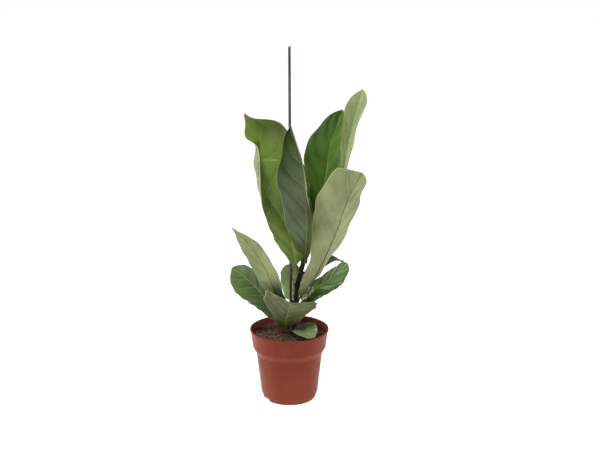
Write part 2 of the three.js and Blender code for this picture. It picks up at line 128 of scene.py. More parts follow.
LEAVES = [
    Leaf("leaf_01", node=.006, side=300, stalk=.012, halves=(.03, .025),
         midrib=[(.013, -.018, .012), (.022, -.032, .018), (.036, -.045, .017), (.054, -.054, .011)],
         faces=[(0, 0, 1), (0, -.2, 1), (.2, -.3, 1)],
         curl=((10, 30, 30), (10, 10, 10)), fold=(10, 10, 10), outline=(.5, .6, .9, .55),
         wave=(1 * MM, 2, .2), upper=srgb(96, 118, 76), gloss=.4),
    Leaf("leaf_02", node=.008, side=190, stalk=.012, halves=(.06, .06),
         midrib=[(-.007, -.008, .015), (-.006, -.026, .038), (-.002, -.043, .062), (.002, -.056, .079),
                 (.006, -.066, .092)],
         faces=[(0, .5, 1), (.1, 1, .6), (.2, .8, 1)],
         curl=((10, 20, 20), (10, 20, 20)), fold=(10, 10, 10), outline=(.26, .45, 1, .9),
         wave=(2 * MM, 2, .1), under=srgb(52, 59, 20), rib=srgb(138, 134, 52), veins=.05),
    Leaf("leaf_03", node=.018, side=175, stalk=.025, halves=(.042, .029),
         midrib=[(-.035, .007, .055), (-.065, 0, .097), (-.095, 0, .127), (-.122, .002, .148)],
         faces=[(.2, -.8, 1), (.2, -1, .7), (.2, -1, .7)],
         curl=((0, 5, 10), (20, 50, 60)), fold=(0, 5, 5), outline=(.5, .62, .85, .5),
         wave=(1 * MM, 3, .4), upper=srgb(76, 100, 58), gloss=.6),
    Leaf("leaf_04", node=.046, side=178, stalk=.012, halves=(.025, .035),
         midrib=[(-.027, -.018, .092), (-.047, -.044, .154), (-.078, -.053, .209), (-.118, -.054, .253)],
         faces=[(.3, .3, 1), (.4, .8, .6), (.3, .6, 1)],
         curl=((10, 20, 20), (0, 0, 0)), fold=(5, 0, 0), outline=(.64, .82, .82, .3),
         wave=(1 * MM, 3, 0), under=srgb(128, 146, 92), rib=srgb(134, 112, 60)),
    Leaf("leaf_05", node=.062, side=20, stalk=.008, halves=(.02, .028),
         midrib=[(.05, .01, .095), (.08, .02, .11), (.105, .028, .128), (.125, .03, .15)],
         faces=[(-.3, -.5, 1), (-.3, -.8, 1), (-.3, -1, 1)],
         curl=((0, 0, 0), (0, 0, 0)), fold=(0, 0, 0), outline=(1.05, 1.05, .75, .5),
         wave=(1 * MM, 3, .3), upper=srgb(92, 132, 66), gloss=.4),
    Leaf("leaf_06", node=.08, side=325, stalk=.008, halves=(.05, .062),
         midrib=[(.061, -.028, .149), (.097, -.048, .239), (.12, -.055, .31), (.15, -.05, .368)],
         faces=[(-.5, 0, 1), (-.6, .8, .3), (-.5, .9, .3), (-.5, .9, .2)],
         curl=((10, 15, 30), (20, 25, 25)), fold=(10, 10, 10), outline=(.42, .44, .92, .85),
         wave=(3 * MM, 3.5, .1), under=srgb(136, 148, 98), rib=srgb(92, 56, 38)),
    Leaf("leaf_07", node=.092, side=50, stalk=.035, halves=(.022, .022),
         midrib=[(.045, .04, .116), (.075, .065, .136), (.1, .082, .14), (.118, .092, .131)],
         faces=[(-.3, -.5, 1), (0, 0, 1), (0, 0, 1)],
         curl=((10, 10, 10), (10, 10, 10)), fold=(10, 10, 10), outline=(.5, .6, .9, .55),
         wave=(1 * MM, 3, 0), upper=srgb(66, 90, 50), gloss=.6),
    Leaf("leaf_08", node=.062, side=120, stalk=.01, halves=(.028, .029),
         midrib=[(.003, .026, .076), (.003, .04, .098), (.008, .048, .119), (.016, .052, .138)],
         faces=[(0, -.5, 1), (0, -1, .5), (0, -1, .2)],
         curl=((10, 10, 10), (10, 10, 10)), fold=(10, 10, 10), outline=(.5, .6, .9, .55),
         wave=(1 * MM, 2, 0), upper=srgb(150, 176, 124)),
    Leaf("leaf_09", node=.134, side=5, stalk=.025, halves=(.032, .014),
         midrib=[(.076, .02, .213), (.108, .022, .32), (.12, .018, .396), (.131, .01, .456), (.15, 0, .531)],
         faces=[(-.5, 0, 1), (-1, .8, .2), (-1, .9, .1), (-1, .8, 0)],
         curl=((10, 15, 20), (20, 30, 30)), fold=(10, 10, 10), outline=(.5, .7, 1.95, 1.35),
         wave=(3 * MM, 4, .1), under=srgb(146, 166, 98), rib=srgb(164, 172, 112)),
    Leaf("leaf_10", node=.138, side=235, stalk=.023, halves=(.058, .079),
         midrib=[(-.005, -.029, .248), (-.045, -.038, .319), (-.065, -.026, .384), (-.06, -.018, .429),
                 (-.091, -.008, .482)],
         faces=[(0, -.2, 1), (.3, -1, .3), (.45, -1, .2), (.65, -1, 0), (-.2, -1, .2)],
         curl=((10, 30, 85, 10), (10, 20, 20, 40)), fold=(10, 20, 25), outline=(.43, .8, .78, .2),
         wave=(2 * MM, 4, .2), upper=srgb(112, 138, 56)),
    Leaf("leaf_11", node=.148, side=95, stalk=.024, halves=(.03, .026),
         midrib=[(.028, .017, .229), (.022, .019, .292), (.016, .021, .349), (.011, .021, .386)],
         faces=[(0, -.5, 1), (0, -1, .1), (0, -1, 0)],
         curl=((10, 20, 20), (10, 20, 20)), fold=(10, 10, 10), outline=(.5, .6, .9, .55),
         wave=(1 * MM, 3, 0), upper=srgb(66, 104, 38)),
    Leaf("leaf_12", node=.156, side=40, stalk=.034, halves=(.052, .046),
         midrib=[(.052, .036, .25), (.076, .052, .323), (.087, .06, .399), (.113, .058, .478)],
         faces=[(0, -.5, 1), (-.2, -1, .2), (-.2, -1, .1), (-.2, -1, 0)],
         curl=((10, 15, 20), (20, 50, 70)), fold=(10, 10, 10), outline=(.5, .6, .68, .4),
         wave=(2 * MM, 3, .3), upper=srgb(68, 110, 30)),
    Leaf("leaf_13", node=.162, side=300, stalk=.02, halves=(.058, .04),
         midrib=[(.038, -.055, .246), (.035, -.07, .322), (.025, -.077, .398), (.005, -.068, .468)],
         faces=[(-.4, -1, 1), (-.55, -1, 0), (-.85, -1, 0), (-1, -1, 0)],
         curl=((10, 30, 100), (20, 30, 30)), fold=(20, 30, 30), outline=(.5, .72, .7, .4),
         wave=(1.5 * MM, 3, .2), upper=srgb(44, 66, 34), gloss=.32),
]

# How finely a leaf is meshed. HALF_STEPS are the places across one half, from the midrib to the margin.
STALK_RINGS = 10
BLADE_RINGS = 120
HALF_STEPS = (0, .01, .022, .037, .056, .08, .11, .15, .2, .26, .32, .39, .46, .54, .62, .7, .78, .85, .91,
              .955, .985, 1)
PLATE = .45 * MM               # half the thickness of the blade between its veins
RIB_TIP = .4 * MM              # the midrib's radius at the leaf's tip
QUILT = 1.7 * MM               # how far the blade bulges between two side veins
VEIN_PAIRS = 6
VEIN_SLANT, VEIN_CURVE = .17, .11     # how far a side vein climbs towards the tip on its way to the margin


# ---------------------------------------------------------------- shader helpers

class Shader:
    """A new material and short ways to build its nodes."""

    def __init__(self, name, **settings):
        self.material = bpy.data.materials.new(name)
        self.material.use_nodes = True
        self.tree = self.material.node_tree
        self.surface = self.tree.nodes["Principled BSDF"]
        for socket, value in settings.items():
            self.surface.inputs[socket.replace("_", " ")].default_value = value

    def node(self, kind, inputs=None, output=0, **settings):
        made = self.tree.nodes.new("ShaderNode" + kind)
        for key, value in settings.items():
            setattr(made, key, value)
        for key, value in (inputs or {}).items():
            self.join(made.inputs[key], value)
        return made.outputs[output]

    def join(self, socket, value):
        if isinstance(value, bpy.types.NodeSocket):
            self.tree.links.new(value, socket)
        else:
            socket.default_value = value

    def drive(self, socket, value):
        self.join(self.surface.inputs[socket], value)

    def finish(self, colour, roughness, normal):
        """The material, with these driving its surface."""
        for socket, value in (("Base Color", colour), ("Roughness", roughness), ("Normal", normal)):
            self.drive(socket, value)
        return self.material

    def math(self, operation, *values):
        return self.node("Math", dict(enumerate(values)), operation=operation)

    def spread(self, value, low, high, out_low=0.0, out_high=1.0):
        """value mapped smoothly from low..high to out_low..out_high."""
        return self.node("MapRange", {"Value": value, "From Min": low, "From Max": high, "To Min": out_low,
                                      "To Max": out_high}, interpolation_type="SMOOTHSTEP")

    def blend(self, share, first, second, how="MIX"):
        mix = self.tree.nodes.new("ShaderNodeMix")
        mix.data_type = "RGBA"
        mix.blend_type = how
        self.join(mix.inputs[0], share)
        self.join(mix.inputs[6], first)
        self.join(mix.inputs[7], second)
        return mix.outputs[2]

    def tint(self, colour, mask, strength, tone):
        """colour with tone laid over it where the mask is, by up to strength."""
        return self.blend(self.math("MULTIPLY", mask, strength), colour, tone)

    def place(self, scale=(1, 1, 1)):
        """Places on the object, stretched by scale."""
        where = self.node("TexCoord", output="Object")
        return self.node("Mapping", {"Vector": where, "Scale": scale})

    def cloud(self, scale, where=None, detail=3.0, roughness=.55):
        inputs = {"Scale": scale, "Detail": detail, "Roughness": roughness}
        inputs["Vector"] = self.place() if where is None else where
        return self.node("TexNoise", inputs)

    def uv(self, name):
        return self.node("UVMap", uv_map=name)

    def bump(self, height, distance, strength=1.0, under=None):
        inputs = {"Height": height, "Distance": distance, "Strength": strength}
        if under is not None:
            inputs["Normal"] = under
        return self.node("Bump", inputs)


# ---------------------------------------------------------------- leaf materials

def vein_masks(shader, length):
    """Masks over a blade of that length: side veins, fine net, midrib, margin, and painted light midway
    between the side veins.
    """
    phase = shader.node("SeparateXYZ", {"Vector": shader.uv("veins")})
    across = phase.node.outputs[1]
    wobble = shader.cloud(26, detail=1)
    phase = shader.math("ADD", phase, shader.math("MULTIPLY", shader.math("SUBTRACT", wobble, .5), .16))
    off = shader.math("ABSOLUTE", shader.math("SUBTRACT", shader.math("FRACT", phase), .5))
    distance = shader.math("MULTIPLY", off, .75 * length / VEIN_PAIRS)
    width = shader.spread(across, 0, 1, 1.1 * MM, .5 * MM)
    side = shader.spread(shader.math("DIVIDE", distance, width), 0, 1, 1, 0)
    cells = shader.node("TexVoronoi", {"Vector": shader.uv("net"), "Scale": 26, "Randomness": .9},
                        feature="DISTANCE_TO_EDGE")
    net = shader.spread(cells, .0, .09, 1, 0)
    fine = shader.node("TexVoronoi", {"Vector": shader.uv("net"), "Scale": 90}, feature="DISTANCE_TO_EDGE")
    net = shader.math("MAXIMUM", net, shader.spread(fine, 0, .12, .5, 0))
    apart = shader.node("SeparateXYZ", {"Vector": shader.uv("net")})
    thick = shader.spread(shader.node("SeparateXYZ", {"Vector": shader.uv("blade")}), 0, 1, .024, .008)
    beside_rib = shader.math("ABSOLUTE", apart.node.outputs[1])
    rib = shader.spread(shader.math("DIVIDE", beside_rib, thick), .3, 1, 1, 0)
    margin = shader.spread(across, .955, .99)
    # Painted light: rises from the side veins to the middle between two, where the blade is paled.
    painted_light_between_veins = shader.spread(off, 0, .5)
    return side, net, rib, margin, painted_light_between_veins


def darker(colour, share):
    return tuple(share * value for value in colour[:3]) + (1,)


def mixed(first, second, share):
    return tuple((1 - share) * a + share * b for a, b in zip(first[:3], second[:3])) + (1,)


PALE_VEIN = srgb(168, 172, 96)
# A pale edge colour: partly the leaf's own pale margin, partly a painted highlight along the rim.
MARGIN_EDGE_AND_HIGHLIGHT = srgb(176, 180, 128)


def upper_surface(leaf, length):
    """Leathery upper surface: waxy, mottled green, with sunken veins and a pale midrib; painted light pales
    it midway between the side veins, and its pale margin is partly a painted highlight.
    """
    shader = Shader(leaf.name + "_upper", Coat_Weight=leaf.gloss, Coat_Roughness=.22, Specular_IOR_Level=.25)
    side, net, rib, margin, painted_light_between_veins = vein_masks(shader, length)
    mottle = shader.spread(shader.cloud(14, detail=4), .3, .7)
    colour = shader.blend(mottle, darker(leaf.upper, .55), mixed(leaf.upper, srgb(136, 166, 66), .14))
    # Painted light: the blade is paler midway between the side veins, as if its quilting caught the light.
    colour = shader.tint(colour, painted_light_between_veins, .38, mixed(leaf.upper, srgb(170, 190, 120), .2))
    deep = shader.spread(shader.cloud(8, detail=5), .42, .66)
    colour = shader.tint(colour, deep, .5, darker(leaf.upper, .42))
    patches = shader.spread(shader.cloud(55, detail=5, roughness=.65), .35, .75)
    colour = shader.tint(colour, patches, .28, mixed(leaf.upper, srgb(96, 128, 56), .6))
    colour = shader.tint(colour, net, .16, mixed(leaf.upper, PALE_VEIN, .3))
    colour = shader.tint(colour, side, .8, mixed(leaf.upper, PALE_VEIN, .6))
    colour = shader.tint(colour, rib, .85, mixed(leaf.upper, PALE_VEIN, .7))
    # Pale margin: partly the leaf's own edge, partly a painted highlight along the rim.
    colour = shader.tint(colour, margin, .45, mixed(leaf.upper, MARGIN_EDGE_AND_HIGHLIGHT, .7))
    specks = shader.spread(shader.cloud(420, detail=2), .72, .8)
    colour = shader.tint(colour, specks, .35, srgb(92, 74, 44))
    dulled = shader.spread(shader.cloud(38, detail=4), .3, .75, .27, .44)
    roughness = shader.math("ADD", dulled, shader.math("MULTIPLY", rib, .1))
    height = shader.math("ADD", shader.math("MULTIPLY", side, -.8), shader.math("MULTIPLY", net, -.22))
    height = shader.math("ADD", height, shader.math("MULTIPLY", shader.cloud(240, detail=4), .3))
    return shader.finish(colour, roughness, shader.bump(height, .5 * MM, .8))


def under_surface(leaf, length):
    """Dull paler underside, with raised veins and a net between them; painted light pales it midway between
    the side veins, and its pale margin is partly a painted highlight.
    """
    shader = Shader(leaf.name + "_under", Specular_IOR_Level=.14)
    side, net, rib, margin, painted_light_between_veins = vein_masks(shader, length)
    mottle = shader.spread(shader.cloud(16, detail=4), .3, .7)
    colour = shader.blend(mottle, darker(leaf.under, .62), mixed(leaf.under, srgb(186, 198, 150), .3))
    # Painted light: the underside is paler midway between the side veins, as if its quilting caught the
    # light.
    colour = shader.tint(colour, painted_light_between_veins, .35, mixed(leaf.under, srgb(206, 214, 176), .3))
    deep = shader.spread(shader.cloud(9, detail=5), .42, .66)
    colour = shader.tint(colour, deep, .5, darker(leaf.under, .5))
    streak = shader.node("Mapping", {"Vector": shader.uv("net"), "Scale": (4, 60, 1)})
    streaks = shader.spread(shader.cloud(2.2, streak, detail=3), .35, .7)
    colour = shader.tint(colour, streaks, .3, mixed(leaf.under, srgb(198, 206, 160), .5))
    colour = shader.tint(colour, net, .3, mixed(leaf.under, leaf.rib, .5))
    colour = shader.tint(colour, side, .9, mixed(leaf.under, srgb(226, 214, 140), leaf.veins))
    colour = shader.tint(colour, rib, .95, leaf.rib)
    # Pale margin: partly the leaf's own edge, partly a painted highlight along the rim.
    colour = shader.tint(colour, margin, .6, srgb(196, 198, 150))
    roughness = shader.spread(shader.cloud(60, detail=4), .3, .7, .46, .66)
    height = shader.math("ADD", shader.math("MULTIPLY", side, 1), shader.math("MULTIPLY", net, .45))
    height = shader.math("ADD", height, shader.math("MULTIPLY", shader.cloud(320, detail=4), .25))
    return shader.finish(colour, roughness, shader.bump(height, .6 * MM, .8))


def stalk_surface(leaf):
    """The leaf stalk: green, with brown blotches and fine lengthwise lines."""
    shader = Shader(leaf.name + "_stalk", Specular_IOR_Level=.45)
    lines = shader.node("Mapping", {"Vector": shader.uv("net"), "Scale": (2, 14, 1)})
    grain = shader.spread(shader.cloud(30, lines, detail=3), .3, .7)
    colour = shader.blend(grain, srgb(66, 68, 34), srgb(104, 108, 58))
    blotch = shader.spread(shader.cloud(90, detail=3), .45, .7)
    colour = shader.tint(colour, blotch, .5, srgb(70, 48, 32))
    roughness = shader.spread(grain, 0, 1, .45, .65)
    return shader.finish(colour, roughness, shader.bump(grain, .3 * MM, .6))


# ---------------------------------------------------------------- curves

def through(points, shares, mirrored=True):
    """Catmull-Rom curve through the points, at shares 0 to 1 of its parameter, with ends mirrored or held."""
    points = np.asarray(points, float)
    if points.ndim == 1:
        points = points[:, None]
    before = 2 * points[0] - points[1] if mirrored else points[0]
    after = 2 * points[-1] - points[-2] if mirrored else points[-1]
    padded = np.vstack([before, points, after])
    place = np.clip(np.atleast_1d(shares), 0, 1) * (len(points) - 1)
    span = np.minimum(place.astype(int), len(points) - 2)
    t = (place - span)[:, None]
    a, b, c, d = (padded[span + step] for step in range(4))
    bent = (2 * a - 5 * b + 4 * c - d) * t ** 2 + (3 * b - a - 3 * c + d) * t ** 3
    return .5 * (2 * b + (c - a) * t + bent)


def unit(vectors):
    return vectors / np.linalg.norm(vectors, axis=-1, keepdims=True)


class Line:
    """A curve through points, sampled by share of its length."""

    def __init__(self, points):
        self.points = points
        self.parameters = np.linspace(0, 1, 1201)
        steps = np.diff(through(points, self.parameters), axis=0)
        lengths = np.linalg.norm(steps, axis=1)
        self.travelled = np.concatenate([[0], np.cumsum(lengths)])
        self.length = self.travelled[-1]

    def at(self, shares):
        wanted = np.asarray(shares) * self.length
        return through(self.points, np.interp(wanted, self.travelled, self.parameters))

    def forward(self, shares):
        nudge = 1e-3
        ahead = self.at(np.clip(shares + nudge, 0, 1))
        return unit(ahead - self.at(np.clip(shares - nudge, 0, 1)))


def over_soil(point):
    return (point[0], point[1], SOIL_TOP + point[2])


# ---------------------------------------------------------------- meshes

def new_object(name, vertices, faces, materials, face_slots=None, smooth=True):
    """A mesh object in the scene. face_slots gives each face's material."""
    mesh = bpy.data.meshes.new(name)
    mesh.from_pydata([tuple(vertex) for vertex in vertices], [], faces)
    for material in materials:
        mesh.materials.append(material)
    if face_slots is not None:
        mesh.polygons.foreach_set("material_index", face_slots)
    mesh.polygons.foreach_set("use_smooth", [smooth] * len(mesh.polygons))
    mesh.update()
    made = bpy.data.objects.new(name, mesh)
    bpy.context.scene.collection.objects.link(made)
    return made


def loft_faces(rings, around):
    """Quads between rings of the same number of points, with a face over each end."""
    faces = []
    for ring in range(rings - 1):
        for step in range(around):
            here = ring * around + step
            beside = ring * around + (step + 1) % around
            faces.append((here, beside, beside + around, here + around))
    last = (rings - 1) * around
    faces.append(tuple(reversed(range(around))))
    faces.append(tuple(range(last, last + around)))
    return faces


def counted_from(first, faces):
    """The faces, for vertices that begin at that place in a longer list."""
    return [tuple(first + corner for corner in face) for face in faces]


def fit_out(piece, node):
    """piece stands for that CAD node, which it hides, and hangs from the root body."""
    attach(piece, "root")
    if node:
        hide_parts(node)
    return piece


def sharpen(piece, degrees):
    piece.data.set_sharp_from_angle(angle=math.radians(degrees))


# ---------------------------------------------------------------- leaves

OUTLINE_SHARES = (0, .03, .1, .26, .46, .68, .85, .95, 1)


def outline(leaf, shares):
    """Half width along the blade as a share of the widest."""
    base, waist, shoulder, apex = leaf.outline
    widths = (.08, .65 * base, base, waist, (1 + waist) / 2, 1, shoulder, apex, .03)
    drawn = through(list(zip(OUTLINE_SHARES, widths)), np.linspace(0, 1, 801), mirrored=False)
    return np.interp(shares, np.maximum.accumulate(drawn[:, 0]), drawn[:, 1])


def stem_centre(height):
    heights = [point[2] for point in STEM_ROUTE]
    x, y = (np.interp(height, heights, [point[k] for point in STEM_ROUTE]) for k in (0, 1))
    return np.array([x, y, SOIL_TOP + height])


def leaf_base(leaf):
    side = math.radians(leaf.side)
    reach = STEM_RADIUS + PETIOLE_RADIUS + CLEARANCE
    return stem_centre(leaf.node) + reach * np.array([math.cos(side), math.sin(side), 0])


def side_vein_phase(shares, across, half):
    """Grows by one from each side vein to the next; the veins lie where its fraction is a half."""
    reach = np.abs(across)
    climbed = shares - VEIN_SLANT * reach - VEIN_CURVE * reach ** 2
    return VEIN_PAIRS * climbed + .5 * half


def grow(leaf):
    """The leaf as one closed mesh: its stalk, and its blade with an upper surface and an underside."""
    line = Line([leaf_base(leaf)] + [over_soil(point) for point in leaf.midrib])
    stalk_share = leaf.stalk / line.length
    blade_length = line.length - leaf.stalk
    even = np.linspace(0, 1, BLADE_RINGS + 1)
    blade = .55 * even + .45 * (1 - np.cos(np.pi * even)) / 2
    stalk_places = stalk_share * np.arange(STALK_RINGS) / STALK_RINGS
    places = np.concatenate([stalk_places, stalk_share + (1 - stalk_share) * blade])
    shares = np.concatenate([np.zeros(STALK_RINGS), blade])
    on_blade = np.arange(len(places)) >= STALK_RINGS

    centre, forward = line.at(places), line.forward(places)
    over = through(unit(np.asarray(leaf.faces, float)), places)
    over = unit(over - (over * forward).sum(1, keepdims=True) * forward)
    left = np.cross(over, forward)

    steps = np.array(HALF_STEPS)
    half_turn = np.concatenate([steps[::-1], -steps[1:]])
    across = np.concatenate([half_turn, half_turn[-2:0:-1]])
    on_top = np.arange(len(across)) < len(half_turn)
    around = len(across)
    turns = np.concatenate([np.linspace(0, 1, len(half_turn)), 1 + np.linspace(0, 1, len(half_turn))[1:-1]])
    turns = np.pi * turns
    facing = np.where(on_top, 1, -1)
    facing[0] = facing[len(half_turn) - 1] = 0

    vertices = np.zeros((len(places), around, 3))
    widths = np.maximum(outline(leaf, shares), .03)
    fold = np.radians(through(leaf.fold, shares)[:, 0])
    wave_height, waves, wave_start = leaf.wave
    ripple = random.Random(leaf.name)
    ripples = [(ripple.uniform(3, 9), ripple.uniform(1, 4), ripple.uniform(0, 6.3)) for _ in range(5)]
    for step in range(around):
        half = 0 if across[step] > 0 or step == 0 else 1
        sign = 1 if half == 0 else -1
        reach = abs(across[step])
        bend = np.maximum(np.radians(through(leaf.curl[half], shares)[:, 0]), 1e-3)
        crest = np.sin(2 * np.pi * (waves * shares + wave_start + .37 * half))
        fade = np.clip(np.minimum(shares / .12, (1 - shares) / .08), 0, 1)
        uneven = 1 + .02 * np.sin(2 * np.pi * (2.3 * waves * shares + .2 * half))
        half_width = leaf.halves[half] * widths * uneven
        tilt = fold + bend * reach
        out = half_width * (np.sin(tilt) - np.sin(fold)) / bend
        rise = half_width * (np.cos(fold) - np.cos(tilt)) / bend
        rise = rise + fade * wave_height * crest * reach ** 2
        phase = side_vein_phase(shares, across[step], half)
        quilt = QUILT * np.abs(np.sin(np.pi * (phase - .5))) ** .8 * math.sin(math.pi * reach) ** .6
        soft = sum(np.sin(a * shares * 2 + b * across[step] + c) for a, b, c in ripples) * .25 * MM * reach
        distance = reach * half_width
        rib = (PETIOLE_RADIUS - RIB_TIP) * (1 - shares) ** .8 + RIB_TIP
        ridge = np.exp(-(distance / rib) ** 2)
        plate = PLATE * math.sqrt(1 - reach ** 8)
        if facing[step] > 0:
            lift = plate + ridge * rib * np.interp(shares, [0, .06], [.8, .12])
        elif facing[step] < 0:
            lift = -plate - ridge * rib * np.interp(shares, [0, .06], [.8, .95])
        else:
            lift = 0
        lift = lift + fade * (quilt * np.minimum(1, half_width / (20 * MM)) + soft)
        blade_out, blade_rise = sign * (out - lift * np.sin(tilt)), rise + lift * np.cos(tilt)
        stalk_out = PETIOLE_RADIUS * math.cos(turns[step])
        stalk_rise = PETIOLE_RADIUS * math.sin(turns[step])
        sideways = np.where(on_blade, blade_out, stalk_out)
        upwards = np.where(on_blade, blade_rise, stalk_rise)
        vertices[:, step] = centre + left * sideways[:, None] + over * upwards[:, None]

    # The stalk swells at its foot and is let into the stem.
    into = unit(stem_centre(leaf.node) - leaf_base(leaf))
    for ring in range(STALK_RINGS):
        swell = 1 + .45 * math.exp(-(ring / 1.5) ** 2)
        vertices[ring] = centre[ring] + (vertices[ring] - centre[ring]) * swell
    vertices[0] += into * 3 * MM

    faces = loft_faces(len(places), around)
    quads = (len(places) - 1) * around
    face_ring, face_step = np.divmod(np.arange(quads), around)
    blade_slots = np.where(face_step < len(half_turn) - 1, 0, 1)
    slots = np.where(face_ring < STALK_RINGS, 2, blade_slots).tolist() + [2, 2]
    materials = [upper_surface(leaf, blade_length), under_surface(leaf, blade_length), stalk_surface(leaf)]
    piece = new_object(leaf.name + "_blade", vertices.reshape(-1, 3), faces, materials, slots)
    paint_coordinates(piece.data, leaf, places * line.length, shares, across, widths, around)
    return fit_out(piece, leaf.name)


def paint_coordinates(mesh, leaf, travelled, shares, across, widths, around):
    """Three UV maps: blade (along, across), veins (side vein phase, reach) and net (both in decimetres)."""
    corners = np.zeros(len(mesh.loops), int)
    mesh.loops.foreach_get("vertex_index", corners)
    ring, step = np.divmod(corners, around)
    ring = np.minimum(ring, len(shares) - 1)
    # A face left of the midrib takes the left half's values at the midrib too.
    face = np.repeat(np.arange(len(mesh.polygons)), [polygon.loop_total for polygon in mesh.polygons])
    middle = np.zeros(len(mesh.polygons))
    np.add.at(middle, face, across[step])
    half = np.where(middle[face] > 0, 0, 1)
    reach = across[step]
    phase = side_vein_phase(shares[ring], reach, half)
    wide = np.array(leaf.halves)[half] * widths[ring]
    maps = {
        "blade": np.stack([shares[ring], .5 + .5 * reach], 1),
        "veins": np.stack([phase, np.abs(reach)], 1),
        "net": np.stack([travelled[ring], reach * wide], 1) * 10,
    }
    for name, values in maps.items():
        layer = mesh.uv_layers.new(name=name)
        layer.uv.foreach_set("vector", values.astype(np.float32).ravel())


# ---------------------------------------------------------------- pot

def moulded_plastic(name, tone, smudge_and_shade_share):
    """Satin moulded plastic: cloudy colour, faint flow lines, a fine grain and brown patches, which are soil
    smudges and, where heavy, painted shade.
    """
    shader = Shader(name, Specular_IOR_Level=.1)
    cloudy = shader.spread(shader.cloud(9, detail=4), .3, .7)
    colour = shader.blend(cloudy, darker(tone, .88), mixed(tone, srgb(172, 84, 62), .12))
    flow = shader.cloud(1, shader.place((160, 160, 6)), detail=3)
    colour = shader.blend(shader.spread(flow, .4, .75, 0, .04), colour, srgb(186, 106, 84))
    # Brown patches: soil smudges on the outside; heavier on the inside, where they are painted shade as well.
    smudge_and_shade = shader.spread(shader.cloud(130, detail=6, roughness=.7), .56, .72)
    colour = shader.tint(colour, smudge_and_shade, smudge_and_shade_share, srgb(74, 52, 42))
    rubbed = shader.spread(shader.cloud(46, detail=5), .3, .7, .36, .5)
    roughness = shader.math("ADD", rubbed, shader.math("MULTIPLY", smudge_and_shade, .4 * smudge_and_shade_share))
    grain = shader.math("ADD", shader.cloud(900, detail=2), shader.math("MULTIPLY", flow, .15))
    return shader.finish(colour, roughness, shader.bump(grain, .12 * MM, .5))


def wall_radius(height):
    """The pot's outside radius at a height, without its lip."""
    collar_foot = POT_HEIGHT - COLLAR_HEIGHT
    heights = [0, POT_HEEL_HEIGHT, collar_foot - COLLAR_BEVEL_HEIGHT, collar_foot, POT_HEIGHT]
    collar_top = POT_RIM_RADIUS - LIP_PROUD
    radii = [POT_FOOT_RADIUS, POT_HEEL_RADIUS, POT_WAIST_RADIUS, COLLAR_BASE_RADIUS, collar_top]
    return float(np.interp(height, heights, radii))


def filleted(profile, radius, steps=4):
    """The profile with each inner corner rounded, by less where the sides beside it are short."""
    rounded = [profile[0]]
    for before, corner, after in zip(profile, profile[1:], profile[2:]):
        corner = np.array(corner)
        back, ahead = np.array(before) - corner, np.array(after) - corner
        reach = min(radius, .45 * np.linalg.norm(back), .45 * np.linalg.norm(ahead))
        start, end = corner + reach * unit(back), corner + reach * unit(ahead)
        for step in range(steps + 1):
            t = step / steps
            rounded.append(tuple((1 - t) ** 2 * start + 2 * t * (1 - t) * corner + t ** 2 * end))
    return rounded + [profile[-1]]


def circle(radius, height, count):
    """That many even points round the axis."""
    turns = [step / count * 2 * math.pi for step in range(count)]
    return [(radius * math.cos(turn), radius * math.sin(turn), height) for turn in turns]


def lathe(name, profile, segments, materials, slot_of=None):
    """A closed solid of revolution from (radius, height) points that start and end on the axis."""
    vertices = [(0, 0, profile[0][1]), (0, 0, profile[-1][1])]
    inner = profile[1:-1]
    for radius, height in inner:
        vertices += circle(radius, height, segments)
    faces, slots = [], []
    for segment in range(segments):
        beside = (segment + 1) % segments
        faces.append((0, 2 + beside, 2 + segment))
        slots.append(0)
        for ring in range(len(inner) - 1):
            here = 2 + ring * segments
            faces.append((here + segment, here + beside, here + segments + beside, here + segments + segment))
            slots.append(slot_of(inner[ring], inner[ring + 1]) if slot_of else 0)
        top = 2 + (len(inner) - 1) * segments
        faces.append((1, top + segment, top + beside))
        slots.append(slot_of(inner[-1], profile[-1]) if slot_of else 0)
    return new_object(name, vertices, faces, materials, slots)


def cut(piece, cutter):
    """Takes cutter out of piece for good."""
    modifier = piece.modifiers.new("cut", "BOOLEAN")
    modifier.operation = "DIFFERENCE"
    modifier.object = cutter
    modifier.solver = "EXACT"
    bpy.context.view_layer.update()
    seen = piece.evaluated_get(bpy.context.evaluated_depsgraph_get())
    mesh = bpy.data.meshes.new_from_object(seen)
    piece.modifiers.clear()
    piece.data = mesh
    bpy.data.objects.remove(cutter)


def block(low, high, turn):
    """The corners and faces of a box turned about the axis by that many degrees."""
    corners = [(x, y, z) for x in (low[0], high[0]) for y in (low[1], high[1]) for z in (low[2], high[2])]
    spin = Matrix.Rotation(math.radians(turn), 3, "Z")
    faces = [(0, 1, 3, 2), (4, 6, 7, 5), (0, 4, 5, 1), (2, 3, 7, 6), (0, 2, 6, 4), (1, 5, 7, 3)]
    return [spin @ Vector(corner) for corner in corners], faces


